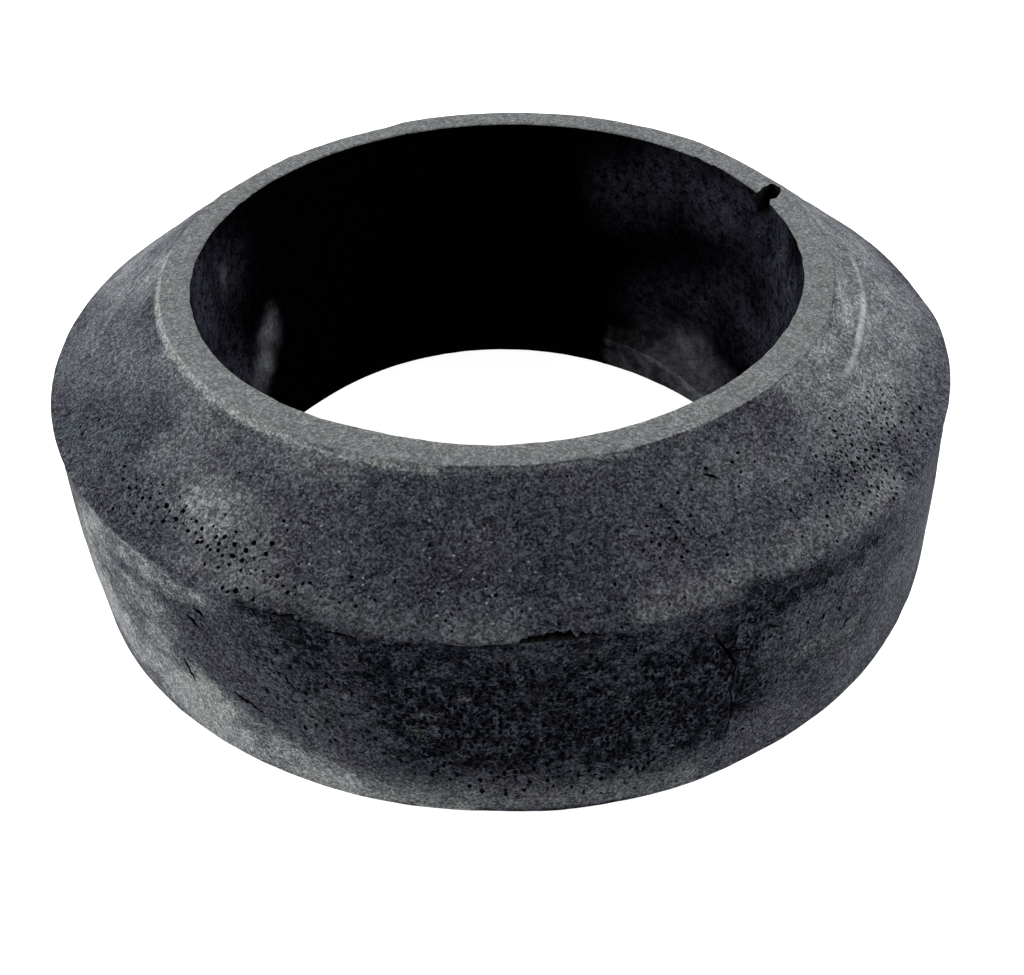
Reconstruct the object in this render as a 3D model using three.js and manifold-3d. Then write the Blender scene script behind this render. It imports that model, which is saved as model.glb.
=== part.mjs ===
// Spud gasket: a thick sponge rubber ring that seals a cistern to the pan below it.
// It was moulded in one piece, in two mould halves that met at the widest line of the ring.
// The lower half is a wall with a little draft, and the upper half is a bevel that ends in a flat land.
// Millimetres, +Z up. The ring stands on its foot, centred on the Z axis, with azimuth 0 along +X.

import * as THREE from 'three';
import { mergeVertices } from 'three/addons/utils/BufferGeometryUtils.js';
import Module from 'manifold-3d';

// The ring
const outerDiameter = 88.9;
const boreDiameter = 59.2;
const height = 30.1;
const partingHeight = 20.8;
const landWidth = 2.9;

// Draft and swell of the wall, a side
const footDraft = 0.7;
const wallSwell = 0.3;

// How far the upper mould half stands out past the lower one, a side
const halfStep = 0.25;

// The mould halves closed a little out of true, so the parting line is higher at the front
const partingTilt = 0.4;

// Small edges
const footEdge = 0.25;
const boreEdge = 0.3;
const shoulderEdge = 0.45;
const stepEdge = 0.06;
const landStep = 0.3;
const landStepRun = 0.12;
const hollowDepth = 0.18;

// Facets
const turnSteps = 96;
const wallSteps = 8;
const bevelSteps = 8;
const pitDetail = 1;

// Cuts up to this level go in as they do in the wall
const shoulderLevel = 1.1;

// Cuts start this far outside the skin, and ribs are rooted this far inside it
const skinClearance = 0.8;
const ribRoot = 0.4;

const outerRadius = outerDiameter / 2;
const boreRadius = boreDiameter / 2;
const landRadius = boreRadius + landWidth;
const wallTop = outerRadius - halfStep;
const footRadius = wallTop - footDraft;
const bevelTop = height - landStep;
const bevelTopRadius = landRadius + landStepRun;

const wasm = await Module();
wasm.setup();

// The outer skin by its level: 0 at the foot, 1 at the parting line, 2 at the head of the bevel
function skinProfile(level) {
  if (level <= 1) {
    const swell = wallSwell * Math.sin(Math.PI * level);
    return new THREE.Vector2(footRadius + footDraft * level + swell, partingHeight * level);
  }
  const share = level - 1;
  const hollow = hollowDepth * Math.sin(Math.PI * share ** 2);
  const radius = outerRadius + (bevelTopRadius - outerRadius) * share;
  return new THREE.Vector2(radius, partingHeight + (bevelTop - partingHeight) * share - hollow);
}

// The parting line's rise at a point of the plan, fading to nothing at the foot and at the land
function partingRise(x, y, z) {
  const fade = z < partingHeight ? z / partingHeight : (height - z) / (height - partingHeight);
  return -partingTilt * (y / outerRadius) * THREE.MathUtils.clamp(fade, 0, 1);
}

function skinPoint(azimuth, level) {
  const angle = THREE.MathUtils.degToRad(azimuth);
  const profile = skinProfile(level);
  const x = profile.x * Math.cos(angle);
  const y = profile.x * Math.sin(angle);
  return new THREE.Vector3(x, y, profile.y + partingRise(x, y, profile.y));
}

// The way out of the skin. Close to the parting line it is the wall's own.
function skinNormal(azimuth, level) {
  const angle = THREE.MathUtils.degToRad(azimuth);
  const nudge = 0.02;
  const low = level <= shoulderLevel ? Math.min(level, 1 - nudge) : level;
  const slope = skinProfile(low + nudge).sub(skinProfile(low));
  const outward = new THREE.Vector2(slope.y, -slope.x).normalize();
  return new THREE.Vector3(outward.x * Math.cos(angle), outward.x * Math.sin(angle), outward.y);
}

// A closed mesh as a solid that can be joined and cut
function toSolid(geometry) {
  geometry.deleteAttribute('normal');
  geometry.deleteAttribute('uv');
  const merged = mergeVertices(geometry, 1e-4);
  return new wasm.Manifold(new wasm.Mesh({
    numProp: 3,
    vertProperties: new Float32Array(merged.attributes.position.array),
    triVerts: new Uint32Array(merged.index.array),
  }));
}

function toGeometry(solid) {
  const mesh = solid.getMesh();
  const geometry = new THREE.BufferGeometry();
  geometry.setAttribute('position', new THREE.BufferAttribute(new Float32Array(mesh.vertProperties), 3));
  geometry.setIndex(new THREE.BufferAttribute(new Uint32Array(mesh.triVerts), 1));
  geometry.computeVertexNormals();
  return geometry;
}

// A closed solid through a row of rings of corners, each ring turning the same way
function loft(rings) {
  const corners = rings[0].length;
  const positions = rings.flat().flatMap((point) => point.toArray());
  const indices = [];
  for (let ring = 0; ring < rings.length - 1; ring += 1) {
    for (let corner = 0; corner < corners; corner += 1) {
      const here = ring * corners + corner;
      const next = ring * corners + (corner + 1) % corners;
      indices.push(here, next + corners, next);
      indices.push(here, here + corners, next + corners);
    }
  }
  const last = (rings.length - 1) * corners;
  for (let corner = 1; corner < corners - 1; corner += 1) {
    indices.push(0, corner, corner + 1);
    indices.push(last, last + corner + 1, last + corner);
  }
  const geometry = new THREE.BufferGeometry();
  geometry.setAttribute('position', new THREE.Float32BufferAttribute(positions, 3));
  geometry.setIndex(indices);
  return toSolid(geometry);
}

// A three-sided bar along the skin. The path's points are [azimuth, level, width, reach].
// The width is measured at the skin. The bar's flat side lies baseRise off the skin, and its
// edge is the reach away on the other side: inwards for a cut, outwards for a rib.
function skinBar(path, baseRise, direction) {
  const points = path.map(([azimuth, level]) => skinPoint(azimuth, level));
  return loft(path.map(([azimuth, level, width, reach], index) => {
    const ahead = points[Math.min(index + 1, points.length - 1)];
    const behind = points[Math.max(index - 1, 0)];
    const normal = skinNormal(azimuth, level);
    const side = new THREE.Vector3().subVectors(ahead, behind).cross(normal).normalize();
    const spread = width / 2 * (1 + Math.abs(baseRise) / reach);
    const corner = (across, out) => points[index].clone()
      .addScaledVector(side, across)
      .addScaledVector(normal, out);
    const ring = [corner(spread, baseRise), corner(-spread, baseRise), corner(0, direction * reach)];
    return direction < 0 ? ring : ring.reverse();
  }));
}

const gash = (path) => skinBar(path, skinClearance, -1);
const rib = (path) => skinBar(path, -ribRoot, 1);

// A pit is a small ball of gas that opened at the skin
function pit([azimuth, level, diameter]) {
  const centre = skinPoint(azimuth, level);
  const geometry = new THREE.IcosahedronGeometry(diameter / 2, pitDetail);
  geometry.translate(centre.x, centre.y, centre.z);
  return toSolid(geometry);
}

// The ring's own section, turned about the axis
function ringBody() {
  const section = [
    new THREE.Vector2(boreRadius + boreEdge, 0),
    new THREE.Vector2(footRadius - footEdge, 0),
  ];
  for (let step = 0; step <= wallSteps; step += 1) {
    const point = skinProfile(step / wallSteps);
    section.push(step === 0 ? new THREE.Vector2(point.x, footEdge) : point);
  }
  const shoulderShare = shoulderEdge / (outerRadius - bevelTopRadius);
  section.push(new THREE.Vector2(outerRadius - stepEdge, partingHeight + stepEdge));
  section.push(new THREE.Vector2(outerRadius, partingHeight + shoulderEdge / 2));
  for (let step = 0; step <= bevelSteps; step += 1) {
    const share = shoulderShare + (1 - shoulderShare) * step / bevelSteps;
    section.push(skinProfile(1 + share));
  }
  section.push(new THREE.Vector2(landRadius, height));
  section.push(new THREE.Vector2(boreRadius + boreEdge, height));
  section.push(new THREE.Vector2(boreRadius, height - boreEdge));
  section.push(new THREE.Vector2(boreRadius, boreEdge));
  section.push(section[0].clone());
  const geometry = new THREE.LatheGeometry(section, turnSteps);
  geometry.rotateX(Math.PI / 2);
  const position = geometry.attributes.position;
  for (let index = 0; index < position.count; index += 1) {
    const x = position.getX(index);
    const y = position.getY(index);
    const z = position.getZ(index);
    if (Math.hypot(x, y) > landRadius) {
      position.setZ(index, z + partingRise(x, y, z));
    }
  }
  return toSolid(geometry);
}

// Moulding ridge on the right of the bevel: the raised lip of a shallow fold in the skin
const mouldRidge = [
  [9, 1.69, 0.3, 0.06],
  [4, 1.71, 0.7, 0.2],
  [-2, 1.74, 0.9, 0.32],
  [-8, 1.75, 1.0, 0.36],
  [-14, 1.74, 1.0, 0.36],
  [-19, 1.73, 1.0, 0.34],
  [-24, 1.71, 0.9, 0.28],
  [-28, 1.71, 0.8, 0.2],
  [-32, 1.71, 0.5, 0.12],
  [-35, 1.72, 0.3, 0.06],
];

// The parting line's tear at the front, and the thin cracks that carry it on
const partingTear = [
  [-95, 0.99, 0.14, 0.4],
  [-92, 0.99, 0.18, 0.6],
  [-89.8, 0.995, 0.3, 1],
  [-88.3, 1.03, 0.55, 1.8],
  [-86.6, 1.03, 0.7, 2.2],
  [-85.6, 1.035, 0.7, 2.4],
  [-84.7, 1.045, 0.95, 2.4],
  [-83.7, 1.035, 0.6, 2.2],
  [-82.6, 1.035, 0.7, 2],
  [-80.6, 1.03, 0.5, 1.6],
  [-79.6, 1.02, 0.25, 0.9],
  [-77.6, 1.01, 0.2, 0.6],
  [-75.5, 1.01, 0.12, 0.4],
];
const partingCrack = [
  [-117, 1.01, 0.12, 0.4],
  [-114.8, 1.02, 0.25, 0.8],
  [-112.4, 1.02, 0.4, 1.2],
  [-109.6, 1.015, 0.3, 1],
  [-107, 1.01, 0.12, 0.4],
];

// The upright crack in the wall, with its two branches
const wallCrack = [
  [-66.8, 0.83, 0.3, 0.8],
  [-65.9, 0.77, 0.65, 1.4],
  [-65.3, 0.73, 1, 1.8],
  [-64.6, 0.68, 0.75, 1.8],
  [-64.2, 0.63, 0.45, 1.6],
  [-64.4, 0.57, 0.32, 1.4],
  [-64.6, 0.51, 0.35, 1.4],
  [-64.3, 0.44, 0.45, 1.5],
  [-64.1, 0.4, 0.55, 1.5],
  [-64.2, 0.34, 0.4, 1.2],
  [-64.4, 0.27, 0.3, 0.9],
  [-64.8, 0.2, 0.15, 0.5],
];
const upperBranch = [
  [-65.4, 0.725, 0.6, 1.2],
  [-64, 0.725, 0.45, 0.9],
  [-62.2, 0.7, 0.15, 0.5],
];
const lowerBranch = [
  [-64.3, 0.4, 0.4, 1],
  [-62.2, 0.395, 0.32, 0.8],
  [-60, 0.375, 0.12, 0.4],
];

// Short slits where the skin split in the mould
const slits = [
  [[-127.6, 0.89, 0.2, 0.6], [-126.8, 0.865, 0.4, 1], [-126, 0.84, 0.15, 0.5]],
  [[-128.3, 0.85, 0.2, 0.6], [-127.4, 0.82, 0.42, 1], [-126.5, 0.79, 0.15, 0.5]],
  [[-131.4, 0.48, 0.15, 0.5], [-131, 0.42, 0.35, 0.9], [-130.5, 0.35, 0.15, 0.5]],
  [[-123.7, 0.475, 0.15, 0.5], [-122, 0.45, 0.42, 1], [-119.2, 0.415, 0.15, 0.5]],
  [[-46.2, 0.55, 0.15, 0.5], [-47.2, 0.53, 0.5, 1], [-48.4, 0.505, 0.2, 0.5]],
  [[-60.4, 0.8, 0.2, 0.6], [-59.6, 0.78, 0.45, 1], [-58.6, 0.755, 0.2, 0.5]],
  [[-60.4, 0.92, 0.3, 0.6], [-59.8, 0.93, 0.55, 1], [-59.2, 0.935, 0.2, 0.5]],
  [[-61.8, 1.76, 0.15, 0.5], [-60.9, 1.74, 0.38, 1], [-59.8, 1.7, 0.2, 0.5]],
];

// The larger open pits, as [azimuth, level, diameter]
const pits = [
  [-24.1, 1.245, 0.75],
  [-23.4, 1.19, 0.8],
  [-33.4, 1.18, 0.7],
  [-28.8, 1.38, 0.55],
  [-27.1, 1.26, 0.5],
  [-158.7, 1.32, 0.5],
  [-155.3, 1.31, 0.55],
  [-122.8, 1.06, 0.6],
  [-121.2, 1.065, 0.6],
  [-119.6, 1.07, 0.5],
];

// The nick in the land, from the bore to just short of the land's outer edge.
// Its outline is [azimuth, share of the land's width], and it narrows towards its bottom.
const nickDepth = 2.2;
const nickTaper = 0.6;
const nickOutline = [
  [24.2, -0.3],
  [24.3, 0.1],
  [25.6, 0.5],
  [25.9, 0.8],
  [24.9, 0.93],
  [23.1, 0.93],
  [21.5, 0.7],
  [20.2, 0.45],
  [20.3, 0.15],
  [18.7, 0],
  [19, -0.3],
];

function landNick() {
  const corners = nickOutline.map(([azimuth, share]) => {
    const angle = THREE.MathUtils.degToRad(azimuth);
    const radius = boreRadius + landWidth * share;
    return new THREE.Vector3(radius * Math.cos(angle), radius * Math.sin(angle), 0);
  });
  const middle = new THREE.Vector3();
  corners.forEach((corner) => middle.addScaledVector(corner, 1 / corners.length));
  const ringAt = (scale, z) => corners.map((corner) => {
    const moved = corner.clone().sub(middle).multiplyScalar(scale).add(middle);
    return moved.setZ(z);
  });
  return loft([
    ringAt(1, height + skinClearance).reverse(),
    ringAt(1, height - nickDepth / 3).reverse(),
    ringAt(nickTaper, height - nickDepth).reverse(),
  ]);
}

let ring = ringBody().add(rib(mouldRidge));
const gashes = [partingTear, partingCrack, wallCrack, upperBranch, lowerBranch, ...slits];
for (const path of gashes) {
  ring = ring.subtract(gash(path));
}
for (const place of pits) {
  ring = ring.subtract(pit(place));
}
ring = ring.subtract(landNick());

// Black sponge rubber, greyed by its dusty skin
const spongeRubber = new THREE.MeshStandardMaterial({
  color: 0x2e3136,
  roughness: 0.95,
  metalness: 0,
});

const gasketMesh = new THREE.Mesh(toGeometry(ring), spongeRubber);
gasketMesh.name = 'spud_gasket';

const gasket = new THREE.Group();
gasket.add(gasketMesh);

export default gasket;
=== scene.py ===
# %% [markdown]
# # A spud gasket in sponge rubber
#
# The object is a thick ring of black sponge rubber that seals a cistern to the pan below it. It
# is one moulded piece: a straight bore, a flat land round its top, a bevel, a parting line where
# the mould's halves met, and a wall that stands almost upright.
#
# A ring like this could be sculpted, or turned from a drawn section. Here its section is drawn
# and spun, because every large form is a turned one. What the moulding and the years did comes
# after: gas pits, splits, a torn parting line, a nick, and pale dust.

import math

import bmesh
import bpy
import numpy as np
from mathutils import Matrix, Vector, noise
from mathutils.bvhtree import BVHTree


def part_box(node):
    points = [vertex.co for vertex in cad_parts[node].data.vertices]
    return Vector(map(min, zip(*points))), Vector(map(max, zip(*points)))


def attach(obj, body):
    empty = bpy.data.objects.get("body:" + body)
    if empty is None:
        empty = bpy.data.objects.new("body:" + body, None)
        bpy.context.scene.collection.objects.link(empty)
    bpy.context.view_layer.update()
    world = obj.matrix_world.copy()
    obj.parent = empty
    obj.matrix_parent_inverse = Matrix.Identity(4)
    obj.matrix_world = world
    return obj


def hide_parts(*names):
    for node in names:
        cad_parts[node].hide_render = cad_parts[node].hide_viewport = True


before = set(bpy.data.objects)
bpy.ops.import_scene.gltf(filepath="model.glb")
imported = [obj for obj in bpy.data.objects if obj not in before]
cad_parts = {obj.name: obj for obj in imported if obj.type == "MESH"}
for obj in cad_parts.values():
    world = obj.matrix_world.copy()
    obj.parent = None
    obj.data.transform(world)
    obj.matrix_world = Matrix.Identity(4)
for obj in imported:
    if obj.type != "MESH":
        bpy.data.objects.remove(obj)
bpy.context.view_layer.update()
low_corner, high_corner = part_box("spud_gasket")
print("the packed ring spans", [round(side, 4) for side in high_corner - low_corner], "m")

# %% [markdown]
# ## The ring's sizes
#
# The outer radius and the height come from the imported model. The other sizes are the ones that
# its source gives, in metres. A place on the outer skin is given by its azimuth, with 0 along
# +X and -90 at the front, and by its level: 0 at the foot, 1 at the parting line, and 2 at the
# land's edge. So a pit or a split keeps its place on the skin whatever the section does.

# %% Sizes
MM = 0.001
outer_radius = high_corner.x
height = high_corner.z
bore_radius = 29.6 * MM
land_width = 2.9 * MM
land_radius = bore_radius + land_width
parting_height = 20.8 * MM
parting_tilt = 0.4 * MM
half_step = 0.25 * MM
foot_draft = 0.7 * MM
wall_swell = 0.3 * MM
land_step = 0.3 * MM
land_step_run = 0.12 * MM
hollow_depth = 0.18 * MM
foot_edge = 0.25 * MM
bore_edge = 0.3 * MM
shoulder_edge = 0.45 * MM
shoulder_level = 1.1

wall_top_radius = outer_radius - half_step
foot_radius = wall_top_radius - foot_draft
bevel_top = height - land_step
bevel_top_radius = land_radius + land_step_run
bevel_run = outer_radius - bevel_top_radius
bevel_length = math.hypot(bevel_run, bevel_top - parting_height)
print("bevel length", round(bevel_length / MM, 2), "mm")


# %% Places on the skin
def skin_section(level):
    """Radius and height of the outer skin at a level, before the parting line's tilt."""
    level = np.asarray(level, float)
    up = np.clip(level, 0, 1)
    wall_r = foot_radius + foot_draft * up + wall_swell * np.sin(math.pi * up)
    share = np.clip(level - 1, 0, 1)
    bevel_r = outer_radius - bevel_run * share
    hollow = hollow_depth * np.sin(math.pi * share**2)
    bevel_z = parting_height + (bevel_top - parting_height) * share - hollow
    on_wall = level <= 1
    return np.where(on_wall, wall_r, bevel_r), np.where(on_wall, parting_height * up, bevel_z)


def parting_rise(y, z):
    """How much higher the skin lies than in the turned section: most at the parting line."""
    above = (height - z) / (height - parting_height)
    fade = np.clip(np.where(z < parting_height, z / parting_height, above), 0, 1)
    return -parting_tilt * y / outer_radius * fade


def skin_point(azimuth, level):
    """Points of the skin as rows of x, y and z."""
    radius, z = skin_section(level)
    angle = np.radians(azimuth)
    x, y = radius * np.cos(angle), radius * np.sin(angle)
    return np.stack([x, y, z + parting_rise(y, z)], axis=-1)


def skin_normal(azimuth, level):
    """The way out of the skin. Up to the shoulder level it is the wall's own."""
    level = np.asarray(level, float)
    nudge = 0.02
    low = np.minimum(level, np.where(level <= shoulder_level, 1, 2) - nudge)
    r_low, z_low = skin_section(low)
    r_high, z_high = skin_section(low + nudge)
    out, up = z_high - z_low, r_low - r_high
    size = np.hypot(out, up)
    angle = np.radians(azimuth)
    return np.stack([out / size * np.cos(angle), out / size * np.sin(angle), up / size], axis=-1)


print("front of the parting line", skin_point(-90, 1.0) / MM)

# %% [markdown]
# ## The camera
#
# The photograph looks down on the ring at about 39 degrees from the front, a little turned to
# one side. The camera is placed first, because every later choice is judged through it. It has
# the focal length and the place that make the ring's circles fall on the photograph's ellipses.

# %% Camera
image_width = 1024
focal_pixels = 1632.6
camera_pitch = math.radians(38.66)
camera_roll = math.radians(1.83)
camera_distance = 177.85 * MM
camera_right_shift = 0.81 * MM
camera_up_shift = 1.39 * MM

forward = Vector((0, math.cos(camera_pitch), -math.sin(camera_pitch)))
level_right = Vector((1, 0, 0))
level_up = level_right.cross(forward)
eye = level_right * camera_right_shift + level_up * camera_up_shift - forward * camera_distance
image_right = level_right * math.cos(camera_roll) - level_up * math.sin(camera_roll)
image_up = level_right * math.sin(camera_roll) + level_up * math.cos(camera_roll)

bpy.ops.object.camera_add(location=eye)
camera = bpy.context.object
turned = Matrix((image_right, image_up, -forward)).transposed()
camera.matrix_world = Matrix.Translation(eye) @ turned.to_4x4()
camera.data.lens = focal_pixels / image_width * camera.data.sensor_width
camera.data.clip_start = 0.01
bpy.context.scene.camera = camera
print("camera at", [round(c, 4) for c in eye], "with a lens of", round(camera.data.lens, 1), "mm")

# %% [markdown]
# ## Floor and light
#
# The ring stands on a white sweep. Big soft lamps stand to the left, to the right, behind and
# above, and little light comes from the camera's side, so the front stays dark while the sides
# and the land are pale. The camera doesn't see the lamps.

# %% Floor
bpy.ops.object.select_all(action="DESELECT")
bpy.ops.mesh.primitive_plane_add(size=6)
floor = bpy.context.object
floor.name = "floor"
paper = bpy.data.materials.new("white_sweep")
paper.use_nodes = True
paper_sockets = paper.node_tree.nodes["Principled BSDF"].inputs
paper_sockets["Base Color"].default_value = (0.5, 0.505, 0.51, 1)
paper_sockets["Roughness"].default_value = 0.9
paper_sockets["Emission Color"].default_value = (1, 1, 1, 1)
paper_sockets["Emission Strength"].default_value = 0.93
floor.data.materials.append(paper)


# %% Lamps
def softbox(name, place, width, depth, watts):
    """A flat lamp that faces the ring and that the camera doesn't see."""
    aim = Vector((0, 0, height / 2)) - Vector(place)
    turned = aim.to_track_quat("-Z", "Y").to_euler()
    bpy.ops.object.light_add(type="AREA", location=place, rotation=turned)
    lamp = bpy.context.object
    lamp.name = name
    lamp.data.shape = "RECTANGLE"
    lamp.data.size = width
    lamp.data.size_y = depth
    lamp.data.energy = watts
    lamp.visible_camera = False


softbox("left_softbox", (-0.75, 0.05, 0.35), 0.7, 0.6, 9.5)
softbox("right_softbox", (0.75, 0.05, 0.35), 0.7, 0.6, 8)
softbox("back_softbox", (0.0, 0.9, 0.6), 1.0, 0.6, 11)
softbox("top_softbox", (0.0, 0.25, 1.1), 0.8, 0.8, 4)

tent = bpy.data.worlds.new("tent")
tent.use_nodes = True
tent_sockets = tent.node_tree.nodes["Background"].inputs
tent_sockets["Color"].default_value = (0.93, 0.96, 1.0, 1)
tent_sockets["Strength"].default_value = 0.12
bpy.context.scene.world = tent
bpy.context.scene.view_settings.view_transform = "Standard"

# %% [markdown]
# ## The section
#
# Half of the ring's section is a five-sided outline: bore, foot, wall, bevel and land. It starts
# as a plane that stands on the X axis. One side is divided at the parting line, four corners are
# slid to their places, and the corners are bevelled. Then the face is deleted, because only the
# outline is spun, and the long sides are divided finely enough to hold the sponge's dents.


# %% Selecting by place in edit mode
def middle_of(edge):
    return (edge.verts[0].co + edge.verts[1].co) / 2


def pick(test, kind="VERT"):
    """Selects the vertices or edges whose middle passes the test, and nothing else."""
    bpy.ops.mesh.select_mode(type=kind)
    bpy.ops.mesh.select_all(action="DESELECT")
    shape = bmesh.from_edit_mesh(bpy.context.object.data)
    for item in shape.verts if kind == "VERT" else shape.edges:
        if test(item.co if kind == "VERT" else middle_of(item)):
            item.select_set(True)
    shape.select_flush_mode()
    bmesh.update_edit_mesh(bpy.context.object.data)


def at(x, z):
    """A test for what lies at this radius and height of the section."""
    return lambda place: math.hypot(place.x - x, place.z - z) < 0.02 * MM


# %% The outline
bpy.ops.object.select_all(action="DESELECT")
bpy.ops.mesh.primitive_plane_add(size=1, rotation=(math.pi / 2, 0, 0))
ring = bpy.context.object
ring.name = "sponge_ring"
ring.location = ((bore_radius + outer_radius) / 2, 0, height / 2)
ring.scale = (outer_radius - bore_radius, height, 1)
bpy.ops.object.transform_apply(location=True, rotation=True, scale=True)

bpy.ops.object.mode_set(mode="EDIT")
pick(at(outer_radius, height / 2), "EDGE")
bpy.ops.mesh.subdivide(number_cuts=2)
lower_cut, upper_cut = height / 3, height * 2 / 3
pick(at(outer_radius, lower_cut))
bpy.ops.transform.translate(value=(-half_step, 0, parting_height - lower_cut))
lip_height = parting_height + shoulder_edge / 3
pick(at(outer_radius, upper_cut))
bpy.ops.transform.translate(value=(0, 0, lip_height - upper_cut))
pick(at(outer_radius, height))
bpy.ops.transform.translate(value=(land_radius - outer_radius, 0, 0))
pick(at(outer_radius, 0))
bpy.ops.transform.translate(value=(foot_radius - outer_radius, 0, 0))

# %% Its corners
corners = [
    # radius, height, size of the edge, segments
    (foot_radius, 0, foot_edge, 3),
    (bore_radius, 0, bore_edge, 3),
    (bore_radius, height, bore_edge, 4),
    (land_radius, height, land_step, 4),
    (outer_radius, lip_height, shoulder_edge / 4, 2),
]
for x, z, edge, segments in corners:
    pick(at(x, z))
    bpy.ops.mesh.bevel(offset=edge, segments=segments, affect="VERTICES")
bpy.ops.mesh.select_all(action="SELECT")
bpy.ops.mesh.delete(type="ONLY_FACE")

# %% Dividing its sides
wall_step = 0.58 * MM
bevel_step = 0.52 * MM
foot_step = 2.4 * MM
# heights of the bore's rows in mm: finer where a ledge will run
bore_rows = [1.3, 2.3, 3.3, 3.9, 5, 6.2, 7.4, 8.6, 9.8, 11, 12.2, 13.4, 14.6, 15.8, 17]
bore_rows += [18.4, 20.4, 22.6, 24.4, 26.2, 28]


def divide_side(middle, length, step):
    """Divides the one long edge whose middle is nearest to a place of the section."""
    shape = bmesh.from_edit_mesh(bpy.context.object.data)
    aim = Vector((middle[0], 0, middle[1]))
    long_edges = [edge for edge in shape.edges if edge.calc_length() > length / 2]
    nearest = min((middle_of(edge) for edge in long_edges), key=lambda place: (place - aim).length)
    pick(at(nearest.x, nearest.z), "EDGE")
    bpy.ops.mesh.subdivide(number_cuts=round(length / step) - 1)


divide_side(((foot_radius + wall_top_radius) / 2, parting_height / 2), parting_height, wall_step)
divide_side(
    ((land_radius + outer_radius) / 2, (parting_height + height) / 2), bevel_length, bevel_step
)
divide_side(((bore_radius + land_radius) / 2, height), land_width - bore_edge, wall_step)
divide_side((bore_radius, height / 2), height, height / (len(bore_rows) + 1))
divide_side(((bore_radius + foot_radius) / 2, 0), foot_radius - bore_radius, foot_step)
bpy.ops.object.mode_set(mode="OBJECT")
print("the outline has", len(ring.data.vertices), "points")


# %% The fine form of the outline
def points_of(piece, kind="co"):
    """A piece's vertices, or their normals, as rows of x, y and z."""
    rows = np.empty(len(piece.data.vertices) * 3)
    piece.data.vertices.foreach_get(kind, rows)
    return rows.reshape(-1, 3)


def move_points(piece, rows):
    piece.data.vertices.foreach_set("co", rows.ravel())
    piece.data.update()


hair = 0.01 * MM
outline = points_of(ring)
wall = (outline[:, 2] < parting_height + hair) & (outline[:, 0] > foot_radius - hair)
outline[wall, 0] += wall_swell * np.sin(math.pi * outline[wall, 2] / parting_height)
bevel = (outline[:, 0] > bevel_top_radius) & (outline[:, 0] < outer_radius - shoulder_edge)
bevel &= outline[:, 2] > parting_height
share = (outer_radius - outline[:, 0]) / bevel_run
closer_at_fold = np.interp(share[bevel], [0, 0.63, 0.85, 1], [0, 0.7, 0.81, 1])
outline[bevel, 0], outline[bevel, 2] = skin_section(1 + closer_at_fold)
down_bore = np.flatnonzero(
    (outline[:, 0] < bore_radius + hair)
    & (outline[:, 2] > bore_edge + 0.1 * MM) & (outline[:, 2] < height - bore_edge - 0.1 * MM)
)
down_bore = down_bore[np.argsort(outline[down_bore, 2])]
outline[down_bore, 2] = np.array(bore_rows) * MM
move_points(ring, outline)

# %% [markdown]
# ## The spin
#
# The outline is spun once round the Z axis. A Screw modifier could do it too, but a spin leaves
# plain vertices to work on at once. Its first and last copies fall on each other, so they are
# merged, and the normals are recalculated because a spin can leave them inside out.

# %% Spinning
bpy.ops.object.mode_set(mode="EDIT")
bpy.ops.mesh.select_all(action="SELECT")
bpy.ops.mesh.spin(steps=480, angle=2 * math.pi, center=(0, 0, 0), axis=(0, 0, 1))
bpy.ops.mesh.select_all(action="SELECT")
bpy.ops.mesh.remove_doubles(threshold=0.001 * MM)
bpy.ops.mesh.normals_make_consistent(inside=False)
bpy.ops.object.mode_set(mode="OBJECT")
print("the spun ring has", len(ring.data.polygons), "faces")

# %% [markdown]
# ## Unrolling the skin
#
# Dents, folds, clusters of pits and patches of dust are all placed by azimuth and level. To
# measure how far a vertex is from one of them, the skin is unrolled into a flat map, with
# millimetres along the parting line and millimetres up the section. A stroke on that map is a
# path with a half width, like one brush stroke, and its strength fades towards its sides.


# %% The map of the skin
def level_of(points):
    """The level of every point near the skin, from its radius and height."""
    radius = np.hypot(points[:, 0], points[:, 1])
    z = points[:, 2] - parting_rise(points[:, 1], points[:, 2])
    share = (outer_radius - radius) / bevel_run
    return np.where(z < parting_height, z / parting_height, 1 + np.clip(share, 0, 1.3))


def unrolled(azimuth, level):
    """Millimetres along the parting line and up the section."""
    level = np.asarray(level, float)
    along = np.radians(azimuth) * outer_radius / MM
    up_wall = np.minimum(level, 1) * parting_height / MM
    return np.stack([along, up_wall + np.maximum(level - 1, 0) * bevel_length / MM], axis=-1)


def soft_step(value):
    value = np.clip(value, 0, 1)
    return value * value * (3 - 2 * value)


def stroke(places, path, half_width, flat_map=unrolled, radius=outer_radius):
    """1 on a path of [azimuth, level], and 0 at half_width millimetres from it."""
    corners = flat_map(*np.array(path + path[-1:], float).T)
    turn = 2 * math.pi * radius / MM
    nearest = np.full(len(places), np.inf)
    for start, end in zip(corners[:-1], corners[1:]):
        step = end - start
        from_start = places - start
        from_start[:, 0] = (from_start[:, 0] + turn / 2) % turn - turn / 2
        share = np.clip(from_start @ step / max(step @ step, 1e-9), 0, 1)
        gap = np.linalg.norm(from_start - share[:, None] * step, axis=1)
        nearest = np.minimum(nearest, gap)
    return soft_step(1 - nearest / half_width)


def painted(strokes, places, *bore_map):
    """The sum of all strokes at every place."""
    return sum(rise * stroke(places, path, width, *bore_map) for width, rise, *path in strokes)


def cloud(points, size, seed, detail=2):
    """Smooth noise from about -1 to 1 at every point. The size of its lumps is in metres."""
    shift = Vector((seed * 7.31, seed * 3.17, seed * 5.71))
    return np.array([
        noise.fractal(Vector(point) / size + shift, 0.9, 2.0, detail) for point in points
    ])


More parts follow.
